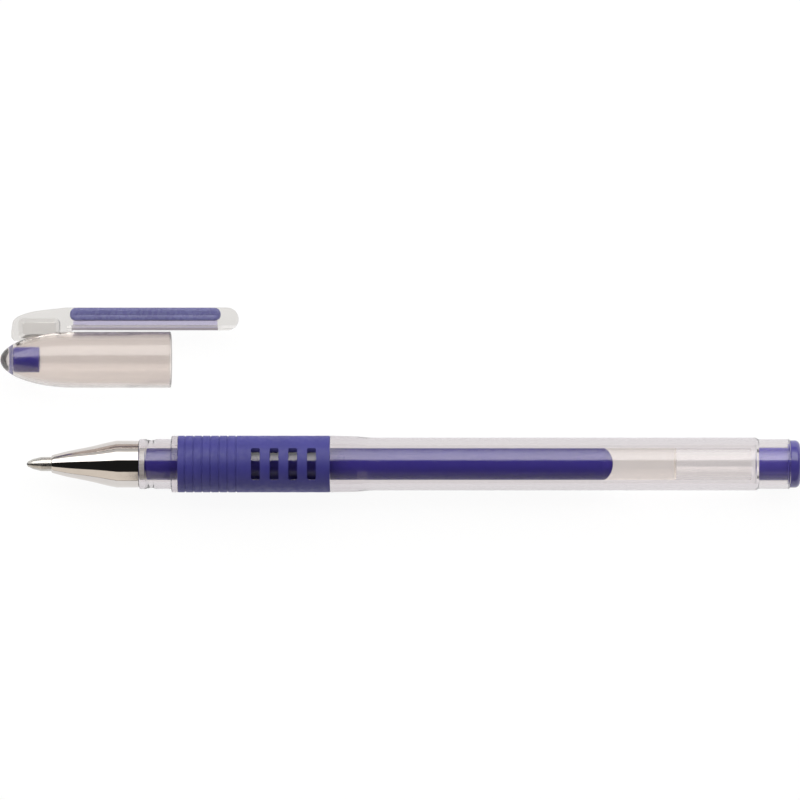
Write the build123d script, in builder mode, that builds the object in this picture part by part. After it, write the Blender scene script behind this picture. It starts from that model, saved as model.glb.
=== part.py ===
"""Capped gel pen with a rubber grip, lying beside its own cap.

The pen lies along X, tip towards -X and tail towards +X. The cap lies parallel to it on the +Y side,
mouth towards +X and clip towards +Y. Both rest on Z = 0, and the origin is the middle of the base.
All sizes are in millimetres.
"""

from math import acos, asin, cos, degrees, radians, sin, sqrt
import os

from build123d import *

os.makedirs("parts", exist_ok=True)

# ---------------------------------------------------------------- driving dimensions
HALF_LENGTH = 74.05  # half the length over the cap's closed end and the pen's tail
AXIS_GAP = 19.32  # between the pen's axis and the cap's axis

# Barrel: clear tube with a threaded spigot, a nose collar, a flange, a grip seat and a tail step
SPIGOT_FRONT_X = -53.2
NOSE_FRONT_X = -48.3
RIDGE_END_X = -46.8
GROOVE_START_X = -46.6
GROOVE_END_X = -45.6
FLANGE_FRONT_X = -42.3
GRIP_FRONT_X = -41.1
GRIP_REAR_X = -12.97
FLARE_END_X = -1.5
TAIL_STEP_X = 66.1
BARREL_END_X = 72.2
SPIGOT_R = 3.85
NOSE_R = 4.64
GROOVE_R = 4.45
GRIP_R = 5.25
GRIP_SEAT_R = 4.35
BARREL_R = 4.9
TAIL_R = 4.62
FRONT_BORE_R = 3.4
REAR_BORE_R = 3.8
BORE_STEP_X = -15.3
BORE_TAPER = 1.5

# Grip sleeve: seven grooves in front, then rows of windows that show the barrel
RIB_PITCH = 1.57
RIB_COUNT = 7
FIRST_RIB_X = -39.75
RIB_GROOVE_WIDTH = 0.3
RIB_GROOVE_DEPTH = 0.12
WINDOW_PITCH = 3.45
WINDOW_COUNT = 4
WINDOW_ROWS = 3
FIRST_WINDOW_X = -26.7
WINDOW_WIDTH = 1.63
WINDOW_CHORD = 5.9
WINDOW_CORNER = 0.4

# Tail plug
PLUG_STEM_X = 66.0
PLUG_BAND_X = 71.8
PLUG_STEM_R = 3.06
PLUG_HEAD_R = 4.4
PLUG_ROUND = 0.9
PLUG_CORE_R = 2.0
PLUG_CORE_DEPTH = 3.6

# Front cone: metal, screwed over the spigot
CONE_FRONT_X = -64.55
CONE_STRAIGHT_X = -52.5
CONE_R = 4.36
CONE_FRONT_R = 1.6
CONE_THREAD_R = 3.92
CONE_THREAD_END_X = -53.4
CONE_MOUTH_R = 1.4
# The bullet-shaped outside and the tapered inside, as (x, radius)
CONE_OUTLINE = [(-61.5, 2.42), (-57.4, 3.24), (-54.2, 4.02)]
CONE_HOLLOW = [(-54.6, 3.4), (-60.2, 2.1), (-62.6, 1.75), (-63.3, 1.4)]

# Refill
TUBE_FRONT_X = -54.5
TUBE_END_X = 65.0
TUBE_R = 2.98
TUBE_BORE_R = 2.25
INK_END_X = 39.4
INK_DOME = 2.1
FOLLOWER_END_X = 51.1
FOLLOWER_DISH = 0.4
HOLDER_PLUG_X = -47.4
HOLDER_COLLAR_X = -55.3
HOLDER_NECK_X = -60.4
HOLDER_NECK_R = 1.72
HOLDER_FRONT_X = -62.2
HOLDER_FRONT_R = 1.5
HOLDER_CHANNEL_R = 0.8
TIP_REAR_X = -60.2
TIP_R = 1.32
TIP_SHANK_R = 0.9
TIP_NOSE_X = -66.4
TIP_RIM_R = 0.46
LIP_R = 0.335
INK_CHANNEL_R = 0.2
BALL_R = 0.35
BALL_X = -68.8
BALL_PLAY = 0.02

# Cap
MOUTH_X = -42.4
MOUTH_LAND_X = -45.85
MOUTH_STEP_X = -49.1
CAP_R = 5.2
CAP_MOUTH_R = 4.7
MOUTH_DRAFT_R = 4.65
CAP_BORE_R = 4.5
DOME_LENGTH = 14.0
INNER_DOME_LENGTH = 13.475
CLOSED_END = 2.6
LIP_ROUND = 0.2
SNAP_X = -46.2
SNAP_COUNT = 3
SNAP_ANGLE = 90
SNAP_R = 0.35
SNAP_HEIGHT = 0.12
SNAP_ROOT = 0.2
SEAL_R = 2.35
SEAL_FRONT_X = -66.7
SEAL_BORE_R = 1.2
SEAL_BORE_DEPTH = 2.6
SEAL_ROUND = 0.35

# Clip and its bridge; heights are measured from the cap's axis towards +Y
CLIP_TOP = 9.65
CLIP_UNDER = 5.45
TRAY_UNDER = 5.85
CLIP_WIDTH = 3.8
RIB_WIDTH = 2.4
CLIP_END_X = -29.9
HINGE_X = -60.9
HINGE_GAP = 0.08
BRIDGE_X = -71.9
BRIDGE_UNDER = 3.5
BRIDGE_CUT_X = -61.7
BRIDGE_HEEL = 1.8
BRIDGE_CHAMFER = 0.6
BRIDGE_OUTLINE = [(-71.3, 7.5), (-68.1, 8.65)]
POCKET_X = -70.1
POCKET_END_X = -64.2
POCKET_UNDER = 4.3
POCKET_TOP = 7.6
POCKET_ROUND = 0.4
WEB = 1.4
INLAY_X = -61.1
INLAY_END_X = -33.2
INLAY_UNDER = 7.15
INLAY_TOP = 9.6
INLAY_WIDTH = 2.6
INLAY_ROUND = 1.1

# ---------------------------------------------------------------- places worked out from them
PEN_Y = -(AXIS_GAP + CLIP_TOP - GRIP_R) / 2
PEN_Z = GRIP_R
CAP_Y = PEN_Y + AXIS_GAP
CAP_Z = CAP_R

PEN_AXIS = Axis((0, PEN_Y, PEN_Z), (1, 0, 0))
CAP_AXIS = Axis((0, CAP_Y, CAP_Z), (1, 0, 0))
# In both turning planes the sketch's X runs along the axis and its Y is the radius
PEN_TURNING = Plane(origin=(0, PEN_Y, PEN_Z), x_dir=(1, 0, 0), z_dir=(0, -1, 0))
CAP_TURNING = Plane(origin=(0, CAP_Y, CAP_Z), x_dir=(1, 0, 0), z_dir=(0, -1, 0))
# The cap seen from above: X along its axis, Y away from it towards the clip
CAP_PLAN = Plane(origin=(0, CAP_Y, CAP_Z), x_dir=(1, 0, 0), z_dir=(0, 0, 1))
KNUCKLE_R = (CLIP_TOP - CLIP_UNDER) / 2
HINGE_Y = (CLIP_TOP + CLIP_UNDER) / 2
# The ink bulges into the follower, and the follower's rear end is dished: both are parts of spheres
INK_R = (TUBE_BORE_R**2 + INK_DOME**2) / (2 * INK_DOME)
INK_ANGLE = degrees(asin(TUBE_BORE_R / INK_R))
FOLLOWER_X = FOLLOWER_END_X - FOLLOWER_DISH
FOLLOWER_DISH_R = (TUBE_BORE_R**2 + FOLLOWER_DISH**2) / (2 * FOLLOWER_DISH)
FOLLOWER_ANGLE = degrees(asin(TUBE_BORE_R / FOLLOWER_DISH_R))
SOCKET_R = BALL_R + BALL_PLAY
TIP_RIM_X = BALL_X - sqrt(SOCKET_R**2 - LIP_R**2)
SOCKET_REAR_X = BALL_X + sqrt(SOCKET_R**2 - INK_CHANNEL_R**2)
DOME_X = -HALF_LENGTH + DOME_LENGTH
CAVITY_END_X = CLOSED_END - HALF_LENGTH
# The cavity's rounded part is an ellipse cut off flat at its closed end
CAVITY_ANGLE = degrees(acos((DOME_X - CAVITY_END_X) / INNER_DOME_LENGTH))
CAVITY_END_R = CAP_BORE_R * sin(radians(CAVITY_ANGLE))


def radial_plane(axis_y, axis_z, x, angle):
    """A plane on an axis along X, at x, whose normal points outwards at angle degrees from +Z towards +Y."""
    out = (0, sin(radians(angle)), cos(radians(angle)))
    return Plane(origin=(x, axis_y, axis_z), x_dir=(1, 0, 0), z_dir=out)


def save(piece, name):
    """Labels a finished piece and writes its STEP file."""
    piece.part.label = name
    export_step(piece.part, f"parts/{name}.step")


# ---------------------------------------------------------------- barrel
with BuildPart() as barrel:
    with BuildSketch(PEN_TURNING):
        with BuildLine():
            Polyline(
                (GRIP_REAR_X, GRIP_SEAT_R),
                (GRIP_FRONT_X, GRIP_SEAT_R),
                (GRIP_FRONT_X, GRIP_R),
                (FLANGE_FRONT_X, GRIP_R),
                (FLANGE_FRONT_X, NOSE_R),
                (GROOVE_END_X, NOSE_R),
                (GROOVE_END_X, GROOVE_R),
                (GROOVE_START_X, GROOVE_R),
                (RIDGE_END_X, NOSE_R),
                (NOSE_FRONT_X, NOSE_R),
                (NOSE_FRONT_X, SPIGOT_R),
                (SPIGOT_FRONT_X, SPIGOT_R),
                (SPIGOT_FRONT_X, FRONT_BORE_R),
                (BORE_STEP_X, FRONT_BORE_R),
                (BORE_STEP_X + BORE_TAPER, REAR_BORE_R),
                (BARREL_END_X, REAR_BORE_R),
                (BARREL_END_X, TAIL_R),
                (TAIL_STEP_X, TAIL_R),
                (TAIL_STEP_X, BARREL_R),
                (FLARE_END_X, BARREL_R),
            )
            Spline(
                (FLARE_END_X, BARREL_R),
                (GRIP_REAR_X, GRIP_R),
                tangents=[(-1, 0), (-1, 0)],
            )
            Line((GRIP_REAR_X, GRIP_R), (GRIP_REAR_X, GRIP_SEAT_R))
        make_face()
    revolve(axis=PEN_AXIS)
save(barrel, "barrel")

# ---------------------------------------------------------------- grip sleeve
with BuildPart() as grip_sleeve:
    with BuildSketch(PEN_TURNING):
        with Locations(((GRIP_FRONT_X + GRIP_REAR_X) / 2, (GRIP_SEAT_R + GRIP_R) / 2)):
            Rectangle(GRIP_REAR_X - GRIP_FRONT_X, GRIP_R - GRIP_SEAT_R)
        for rib in range(RIB_COUNT):
            with Locations((FIRST_RIB_X + rib * RIB_PITCH, GRIP_R)):
                Rectangle(RIB_GROOVE_WIDTH, 2 * RIB_GROOVE_DEPTH, mode=Mode.SUBTRACT)
    revolve(axis=PEN_AXIS)
    for row in range(WINDOW_ROWS):
        with BuildSketch(radial_plane(PEN_Y, PEN_Z, 0, row * 360 / WINDOW_ROWS)):
            for window in range(WINDOW_COUNT):
                with Locations((FIRST_WINDOW_X + window * WINDOW_PITCH, 0)):
                    RectangleRounded(WINDOW_WIDTH, WINDOW_CHORD, WINDOW_CORNER)
        extrude(amount=2 * GRIP_R, mode=Mode.SUBTRACT)
save(grip_sleeve, "grip_sleeve")

# ---------------------------------------------------------------- tail plug
with BuildPart() as tail_plug:
    with BuildSketch(PEN_TURNING):
        with BuildLine():
            Polyline(
                (PLUG_STEM_X + PLUG_CORE_DEPTH, 0),
                (PLUG_STEM_X + PLUG_CORE_DEPTH, PLUG_CORE_R),
                (PLUG_STEM_X, PLUG_CORE_R),
                (PLUG_STEM_X, PLUG_STEM_R),
                (PLUG_BAND_X, PLUG_STEM_R),
                (PLUG_BAND_X, REAR_BORE_R),
                (BARREL_END_X, REAR_BORE_R),
                (BARREL_END_X, PLUG_HEAD_R),
                (HALF_LENGTH - PLUG_ROUND, PLUG_HEAD_R),
            )
            RadiusArc(
                (HALF_LENGTH - PLUG_ROUND, PLUG_HEAD_R),
                (HALF_LENGTH, PLUG_HEAD_R - PLUG_ROUND),
                PLUG_ROUND,
            )
            Polyline(
                (HALF_LENGTH, PLUG_HEAD_R - PLUG_ROUND),
                (HALF_LENGTH, 0),
                (PLUG_STEM_X + PLUG_CORE_DEPTH, 0),
            )
        make_face()
    revolve(axis=PEN_AXIS)
save(tail_plug, "tail_plug")

# ---------------------------------------------------------------- front cone
with BuildPart() as front_cone:
    with BuildSketch(PEN_TURNING):
        with BuildLine():
            Spline(
                (CONE_FRONT_X, CONE_FRONT_R),
                *CONE_OUTLINE,
                (CONE_STRAIGHT_X, CONE_R),
                tangents=[(1, 0.5), (1, 0)],
            )
            Polyline(
                (CONE_STRAIGHT_X, CONE_R),
                (NOSE_FRONT_X, CONE_R),
                (NOSE_FRONT_X, CONE_THREAD_R),
                (CONE_THREAD_END_X, CONE_THREAD_R),
                *CONE_HOLLOW,
                (CONE_FRONT_X, CONE_MOUTH_R),
                (CONE_FRONT_X, CONE_FRONT_R),
            )
        make_face()
    revolve(axis=PEN_AXIS)
save(front_cone, "front_cone")

# ---------------------------------------------------------------- refill tube, ink and follower
with BuildPart() as refill_tube:
    with BuildSketch(PEN_TURNING):
        with Locations(((TUBE_FRONT_X + TUBE_END_X) / 2, (TUBE_R + TUBE_BORE_R) / 2)):
            Rectangle(TUBE_END_X - TUBE_FRONT_X, TUBE_R - TUBE_BORE_R)
    revolve(axis=PEN_AXIS)
save(refill_tube, "refill_tube")

with BuildPart() as gel_ink:
    with BuildSketch(PEN_TURNING):
        with BuildLine():
            Polyline(
                (INK_END_X, 0),
                (HOLDER_PLUG_X, 0),
                (HOLDER_PLUG_X, TUBE_BORE_R),
                (INK_END_X - INK_DOME, TUBE_BORE_R),
            )
            CenterArc((INK_END_X - INK_R, 0), INK_R, 0, INK_ANGLE)
        make_face()
    revolve(axis=PEN_AXIS)
save(gel_ink, "gel_ink")

with BuildPart() as ink_follower:
    with BuildSketch(PEN_TURNING):
        with BuildLine():
            CenterArc((INK_END_X - INK_R, 0), INK_R, 0, INK_ANGLE)
            Line((INK_END_X - INK_DOME, TUBE_BORE_R), (FOLLOWER_END_X, TUBE_BORE_R))
            CenterArc((FOLLOWER_X + FOLLOWER_DISH_R, 0), FOLLOWER_DISH_R, 180, -FOLLOWER_ANGLE)
            Line((FOLLOWER_X, 0), (INK_END_X, 0))
        make_face()
    revolve(axis=PEN_AXIS)
save(ink_follower, "ink_follower")

# ---------------------------------------------------------------- tip holder, tip and ball
with BuildPart() as tip_holder:
    with BuildSketch(PEN_TURNING):
        with BuildLine():
            Polyline(
                (HOLDER_PLUG_X, HOLDER_CHANNEL_R),
                (HOLDER_PLUG_X, TUBE_BORE_R),
                (TUBE_FRONT_X, TUBE_BORE_R),
                (TUBE_FRONT_X, TUBE_R),
                (HOLDER_COLLAR_X, TUBE_R),
                (HOLDER_NECK_X, HOLDER_NECK_R),
                (HOLDER_FRONT_X, HOLDER_FRONT_R),
                (HOLDER_FRONT_X, TIP_SHANK_R),
                (TIP_REAR_X, TIP_SHANK_R),
                (TIP_REAR_X, HOLDER_CHANNEL_R),
                close=True,
            )
        make_face()
    revolve(axis=PEN_AXIS)
save(tip_holder, "tip_holder")

with BuildPart() as tip_body:
    with BuildSketch(PEN_TURNING):
        with BuildLine():
            Polyline(
                (TIP_RIM_X, LIP_R),
                (TIP_RIM_X, TIP_RIM_R),
                (TIP_NOSE_X, TIP_R),
                (HOLDER_FRONT_X, TIP_R),
                (HOLDER_FRONT_X, TIP_SHANK_R),
                (TIP_REAR_X, TIP_SHANK_R),
                (TIP_REAR_X, INK_CHANNEL_R),
                (SOCKET_REAR_X, INK_CHANNEL_R),
            )
            ThreePointArc((SOCKET_REAR_X, INK_CHANNEL_R), (BALL_X, SOCKET_R), (TIP_RIM_X, LIP_R))
        make_face()
    revolve(axis=PEN_AXIS)
save(tip_body, "tip_body")

with BuildPart() as writing_ball:
    with Locations((BALL_X, PEN_Y, PEN_Z)):
        Sphere(BALL_R)
save(writing_ball, "writing_ball")

# ---------------------------------------------------------------- cap shell with the clip's bridge
with BuildPart() as cap_shell:
    with BuildSketch(CAP_PLAN.offset(-CLIP_WIDTH / 2)):
        with BuildLine():
            Spline(
                (BRIDGE_X, BRIDGE_UNDER + BRIDGE_HEEL),
                *BRIDGE_OUTLINE,
                (BRIDGE_CUT_X, CLIP_TOP),
                tangents=[(0, 1), (1, 0)],
            )
            Polyline(
                (BRIDGE_CUT_X, CLIP_TOP),
                (BRIDGE_CUT_X, BRIDGE_UNDER),
                (BRIDGE_X + BRIDGE_CHAMFER, BRIDGE_UNDER),
                (BRIDGE_X, BRIDGE_UNDER + BRIDGE_CHAMFER),
                (BRIDGE_X, BRIDGE_UNDER + BRIDGE_HEEL),
            )
        make_face()
    extrude(amount=CLIP_WIDTH)
    for side in (1, -1):
        with BuildSketch(CAP_PLAN.offset(side * CLIP_WIDTH / 2)):
            with Locations(((POCKET_X + POCKET_END_X) / 2, (POCKET_UNDER + POCKET_TOP) / 2)):
                RectangleRounded(POCKET_END_X - POCKET_X, POCKET_TOP - POCKET_UNDER, POCKET_ROUND)
        extrude(amount=-side * (CLIP_WIDTH - WEB) / 2, mode=Mode.SUBTRACT)
    with BuildSketch(CAP_PLAN.offset(-CLIP_WIDTH)):
        with Locations((HINGE_X, HINGE_Y)):
            Circle(KNUCKLE_R + HINGE_GAP)
    extrude(amount=2 * CLIP_WIDTH, mode=Mode.SUBTRACT)
    with BuildSketch(CAP_TURNING):
        with BuildLine():
            Line((DOME_X - DOME_LENGTH, 0), (MOUTH_X, 0))
            Line((MOUTH_X, 0), (MOUTH_X, CAP_R))
            Line((MOUTH_X, CAP_R), (DOME_X, CAP_R))
            EllipticalCenterArc((DOME_X, 0), DOME_LENGTH, CAP_R, start_angle=90, arc_size=90)
        make_face()
    revolve(axis=CAP_AXIS)
    with BuildSketch(CAP_TURNING):
        with BuildLine():
            Polyline(
                (CAVITY_END_X, CAVITY_END_R),
                (CAVITY_END_X, 0),
                (MOUTH_X, 0),
                (MOUTH_X, CAP_MOUTH_R),
                (MOUTH_LAND_X, CAP_MOUTH_R),
                (MOUTH_STEP_X, MOUTH_DRAFT_R),
                (MOUTH_STEP_X, CAP_BORE_R),
                (DOME_X, CAP_BORE_R),
            )
            EllipticalCenterArc(
                (DOME_X, 0),
                INNER_DOME_LENGTH,
                CAP_BORE_R,
                start_angle=90,
                arc_size=90 - CAVITY_ANGLE,
            )
        make_face()
    revolve(axis=CAP_AXIS, mode=Mode.SUBTRACT)
    for snap in range(SNAP_COUNT):
        snap_angle = SNAP_ANGLE + snap * 360 / SNAP_COUNT
        with BuildSketch(radial_plane(CAP_Y, CAP_Z, SNAP_X, snap_angle).offset(CAP_MOUTH_R - SNAP_HEIGHT)):
            Circle(SNAP_R)
        extrude(amount=SNAP_HEIGHT + SNAP_ROOT)
    mouth_rim = cap_shell.edges().filter_by(GeomType.CIRCLE).group_by(Axis.X)[-1]
    fillet(mouth_rim.sort_by(SortBy.RADIUS)[-1], LIP_ROUND)
save(cap_shell, "cap_shell")

# ---------------------------------------------------------------- inner seal
with BuildPart() as inner_seal:
    with BuildSketch(CAP_TURNING):
        with BuildLine():
            Polyline(
                (CAVITY_END_X, 0),
                (CAVITY_END_X, SEAL_R - SEAL_ROUND),
                (CAVITY_END_X + SEAL_ROUND, SEAL_R),
                (SEAL_FRONT_X, SEAL_R),
                (SEAL_FRONT_X, SEAL_BORE_R),
                (SEAL_FRONT_X - SEAL_BORE_DEPTH, SEAL_BORE_R),
                (SEAL_FRONT_X - SEAL_BORE_DEPTH, 0),
                close=True,
            )
        make_face()
    revolve(axis=CAP_AXIS)
save(inner_seal, "inner_seal")

# ---------------------------------------------------------------- clip arm and inlay
with BuildPart() as clip_arm:
    with BuildSketch(CAP_PLAN.offset(-CLIP_WIDTH / 2)):
        with BuildLine():
            Line((HINGE_X, CLIP_TOP), (CLIP_END_X - KNUCKLE_R, CLIP_TOP))
            ThreePointArc(
                (CLIP_END_X - KNUCKLE_R, CLIP_TOP),
                (CLIP_END_X, HINGE_Y),
                (CLIP_END_X - KNUCKLE_R, CLIP_UNDER),
            )
            Line((CLIP_END_X - KNUCKLE_R, CLIP_UNDER), (HINGE_X, CLIP_UNDER))
            ThreePointArc(
                (HINGE_X, CLIP_UNDER), (HINGE_X - KNUCKLE_R, HINGE_Y), (HINGE_X, CLIP_TOP)
            )
        make_face()
    extrude(amount=CLIP_WIDTH)
    # The lower part of the arm is a narrower rib
    for side in (1, -1):
        with BuildSketch(CAP_PLAN.offset(side * CLIP_WIDTH / 2)):
            with Locations(((HINGE_X + CLIP_END_X) / 2, (CLIP_UNDER + TRAY_UNDER) / 2)):
                Rectangle(CLIP_END_X - HINGE_X, TRAY_UNDER - CLIP_UNDER)
        extrude(amount=-side * (CLIP_WIDTH - RIB_WIDTH) / 2, mode=Mode.SUBTRACT)
    with BuildSketch(CAP_PLAN.offset(-INLAY_WIDTH / 2)):
        with Locations(((INLAY_X + INLAY_END_X) / 2, CLIP_TOP)):
            Rectangle(INLAY_END_X - INLAY_X, 2 * (CLIP_TOP - INLAY_UNDER))
    extrude(amount=INLAY_WIDTH, mode=Mode.SUBTRACT)
save(clip_arm, "clip_arm")

with BuildPart() as clip_inlay:
    with BuildSketch(CAP_PLAN.offset(-INLAY_WIDTH / 2)):
        with Locations(((INLAY_X + INLAY_END_X) / 2, (INLAY_UNDER + INLAY_TOP) / 2)):
            RectangleRounded(INLAY_END_X - INLAY_X, INLAY_TOP - INLAY_UNDER, INLAY_ROUND)
    extrude(amount=INLAY_WIDTH)
save(clip_inlay, "clip_inlay")
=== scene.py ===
"""Gel pen beside its cap, on a plain white floor, seen from straight above.

Every outline is written in millimetres as (x, radius) or (x, height) points, with a third number
where a corner is rounded. Places along the pen and the cap come from the CAD nodes' boxes.
"""

from math import acos, atan2, cos, degrees, pi, radians, sin, sqrt, tan

import bmesh
import bpy
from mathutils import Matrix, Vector


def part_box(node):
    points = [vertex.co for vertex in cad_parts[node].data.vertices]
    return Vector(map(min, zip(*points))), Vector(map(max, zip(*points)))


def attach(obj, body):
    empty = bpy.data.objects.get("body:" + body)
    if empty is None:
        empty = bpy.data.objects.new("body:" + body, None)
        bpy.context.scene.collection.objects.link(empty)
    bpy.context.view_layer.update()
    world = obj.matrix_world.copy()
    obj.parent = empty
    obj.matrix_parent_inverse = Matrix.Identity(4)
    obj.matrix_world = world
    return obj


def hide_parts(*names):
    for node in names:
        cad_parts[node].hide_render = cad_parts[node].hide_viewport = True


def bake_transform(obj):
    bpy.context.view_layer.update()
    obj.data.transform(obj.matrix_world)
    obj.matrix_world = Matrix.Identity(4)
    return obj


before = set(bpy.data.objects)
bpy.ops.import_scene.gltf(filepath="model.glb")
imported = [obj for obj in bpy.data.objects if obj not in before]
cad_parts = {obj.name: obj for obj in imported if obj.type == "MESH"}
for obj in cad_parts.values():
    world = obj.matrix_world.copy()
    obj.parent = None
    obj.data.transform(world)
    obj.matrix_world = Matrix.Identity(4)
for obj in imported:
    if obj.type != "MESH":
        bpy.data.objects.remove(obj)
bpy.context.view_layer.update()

MM = 0.001
SEGMENTS = 144  # around each turned piece
ARC_STEPS = 4  # in each rounded corner
SMOOTH_ANGLE = 30  # an edge sharper than this stays sharp


# ---------------------------------------------------------------- places from the CAD frame
def span(node):
    """A CAD node's lowest and highest corner, in millimetres."""
    low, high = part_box(node)
    return low / MM, high / MM


BARREL, BARREL_TOP = span("barrel")
CONE, CONE_TOP = span("front_cone")
GRIP, GRIP_TOP = span("grip_sleeve")
PLUG, PLUG_TOP = span("tail_plug")
TUBE, TUBE_TOP = span("refill_tube")
INK, INK_TOP = span("gel_ink")
_, FOLLOWER_TOP = span("ink_follower")
HOLDER, HOLDER_TOP = span("tip_holder")
TIP, TIP_TOP = span("tip_body")
BALL, BALL_TOP = span("writing_ball")
CAP, CAP_TOP = span("cap_shell")
SEAL, SEAL_TOP = span("inner_seal")
CLIP, CLIP_TOP = span("clip_arm")
INLAY, INLAY_TOP = span("clip_inlay")
PEN_AXIS = (TUBE + TUBE_TOP) / 2
CAP_AXIS = (SEAL + SEAL_TOP) / 2


# ---------------------------------------------------------------- mesh helpers
def soften(outline):
    """The outline's points, with an arc in place of each corner that gives a rounding."""
    points = []
    for index, (x, r, *rounding) in enumerate(outline):
        here = Vector((x, r))
        if not rounding:
            points.append(here)
            continue
        back = (Vector(outline[index - 1][:2]) - here).normalized()
        on = (Vector(outline[(index + 1) % len(outline)][:2]) - here).normalized()
        turn = pi - back.angle(on)
        reach = rounding[0] * tan(turn / 2)
        centre = here + (back + on).normalized() * rounding[0] / cos(turn / 2)
        start, end = here + back * reach - centre, here + on * reach - centre
        for step in range(ARC_STEPS + 1):
            spoke = start.lerp(end, step / ARC_STEPS).normalized()
            points.append(centre + spoke * rounding[0])
    return points


def arc(x, r, radius, first, last, steps=16):
    """Points on an arc about (x, r), from angle first to last in degrees, 0 along +X and 90 outwards."""
    turns = [radians(first + (last - first) * step / steps) for step in range(steps + 1)]
    return [(x + radius * cos(turn), r + radius * sin(turn)) for turn in turns]


def oval(x, length, height, first, last, steps=24):
    """Points on an ellipse about (x, 0) with those half axes."""
    turns = [radians(first + (last - first) * step / steps) for step in range(steps + 1)]
    return [(x + length * cos(turn), height * sin(turn)) for turn in turns]


def curve(points, steps=6):
    """A smooth line through the points, as more points."""
    path = [Vector(point) for point in points]
    path = [2 * path[0] - path[1]] + path + [2 * path[-1] - path[-2]]
    line = []
    for before, start, end, after in zip(path, path[1:], path[2:], path[3:]):
        for step in range(steps):
            t = step / steps
            line.append(
                0.5
                * (
                    2 * start
                    + (end - before) * t
                    + (2 * before - 5 * start + 4 * end - after) * t**2
                    + (3 * start - before - 3 * end + after) * t**3
                )
            )
    return [tuple(point) for point in line + [path[-2]]]


def piece(name, bm, *materials):
    """A smooth-shaded object in metres from a mesh in millimetres."""
    bmesh.ops.recalc_face_normals(bm, faces=bm.faces)
    bmesh.ops.scale(bm, vec=(MM, MM, MM), verts=bm.verts)
    mesh = bpy.data.meshes.new(name)
    bm.to_mesh(mesh)
    bm.free()
    mesh.polygons.foreach_set("use_smooth", [True] * len(mesh.polygons))
    mesh.set_sharp_from_angle(angle=radians(SMOOTH_ANGLE))
    for material in materials:
        mesh.materials.append(material)
    made = bpy.data.objects.new(name, mesh)
    bpy.context.scene.collection.objects.link(made)
    return made


def even_normals(made):
    """Keeps the shading of the large faces flat up to their rounded edges."""
    modifier = made.modifiers.new("even_normals", "WEIGHTED_NORMAL")
    modifier.keep_sharp = True
    return made


def turned_mesh(outline, axis, closed=False, wave=None):
    """A mesh turned about an axis along X. wave(x, radius, angle) may move a point in or out."""
    bm = bmesh.new()
    rings = []
    for x, r in soften(outline):
        if r < MM:
            rings.append([bm.verts.new((x, axis.y, axis.z))] * SEGMENTS)
            continue
        ring = []
        for segment in range(SEGMENTS):
            angle = 2 * pi * segment / SEGMENTS
            out = wave(x, r, angle) if wave else r
            ring.append(bm.verts.new((x, axis.y + out * cos(angle), axis.z + out * sin(angle))))
        rings.append(ring)
    for ring, other in zip(rings, rings[1:] + rings[: int(closed)]):
        for segment in range(SEGMENTS):
            on = (segment + 1) % SEGMENTS
            corners = [ring[segment], ring[on], other[on], other[segment]]
            bm.faces.new(list(dict.fromkeys(corners)))
    return bm


def turned(name, outline, axis, material, closed=False, wave=None):
    """A finished piece turned about an axis along X."""
    return even_normals(piece(name, turned_mesh(outline, axis, closed, wave), material))


def bar(bm, start, end, section):
    """A prism along X between two places, over a (y, z) section."""
    near = [bm.verts.new((start, y, z)) for y, z in section]
    far = [bm.verts.new((end, y, z)) for y, z in section]
    bm.faces.new(near)
    bm.faces.new(far[::-1])
    for index, vertex in enumerate(near):
        other = (index + 1) % len(near)
        bm.faces.new([near[other], vertex, far[index], far[other]])


def tapered(bm, low, high, low_z, high_z):
    """A closed slab that narrows from one (x, y) outline to another of as many points."""
    near = [bm.verts.new((x, y, low_z)) for x, y in soften(low)]
    far = [bm.verts.new((x, y, high_z)) for x, y in soften(high)]
    bm.faces.new(near)
    bm.faces.new(far[::-1])
    for index, vertex in enumerate(near):
        other = (index + 1) % len(near)
        bm.faces.new([near[other], vertex, far[index], far[other]])


def plate(bm, outline, z, thickness):
    """A closed slab over an (x, y) outline, centred on height z."""
    tapered(bm, outline, outline, z - thickness / 2, z + thickness / 2)


def settle(made):
    """Makes the modifiers' result the object's own mesh."""
    depsgraph = bpy.context.evaluated_depsgraph_get()
    mesh = bpy.data.meshes.new_from_object(made.evaluated_get(depsgraph))
    made.modifiers.clear()
    made.data = mesh
    return made


def cut(made, tool):
    """Takes one mesh away from another. The cut faces take the tool's material, if it has one."""
    modifier = made.modifiers.new("cut", "BOOLEAN")
    modifier.operation = "DIFFERENCE"
    modifier.solver = "EXACT"
    if tool.data.materials:
        modifier.material_mode = "TRANSFER"
    modifier.object = tool
    settle(made)
    bpy.data.objects.remove(tool)
    return made


def slice_mesh(made, x):
    """Adds edges across a mesh at x."""
    bm = bmesh.new()
    bm.from_mesh(made.data)
    everything = bm.verts[:] + bm.edges[:] + bm.faces[:]
    bmesh.ops.bisect_plane(bm, geom=everything, plane_co=(x * MM, 0, 0), plane_no=(1, 0, 0))
    bm.to_mesh(made.data)
    bm.free()


def shade(made):
    """Smooth shading that keeps the sharp edges."""
    made.data.polygons.foreach_set("use_smooth", [True] * len(made.data.polygons))
    made.data.set_sharp_from_angle(angle=radians(SMOOTH_ANGLE))
    return even_normals(made)


def round_edges(made, width, steps=3, angle=40):
    """Rounds every edge sharper than angle degrees."""
    modifier = made.modifiers.new("round_edges", "BEVEL")
    modifier.width = width * MM
    modifier.segments = steps
    modifier.limit_method = "ANGLE"
    modifier.angle_limit = radians(angle)
    return shade(settle(made))


# ---------------------------------------------------------------- material helpers
def new_material(name):
    """A material with an empty node tree, and its shader and output."""
    material = bpy.data.materials.new(name)
    material.use_nodes = True
    nodes = material.node_tree.nodes
    return material, nodes, nodes["Principled BSDF"], nodes["Material Output"]


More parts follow.
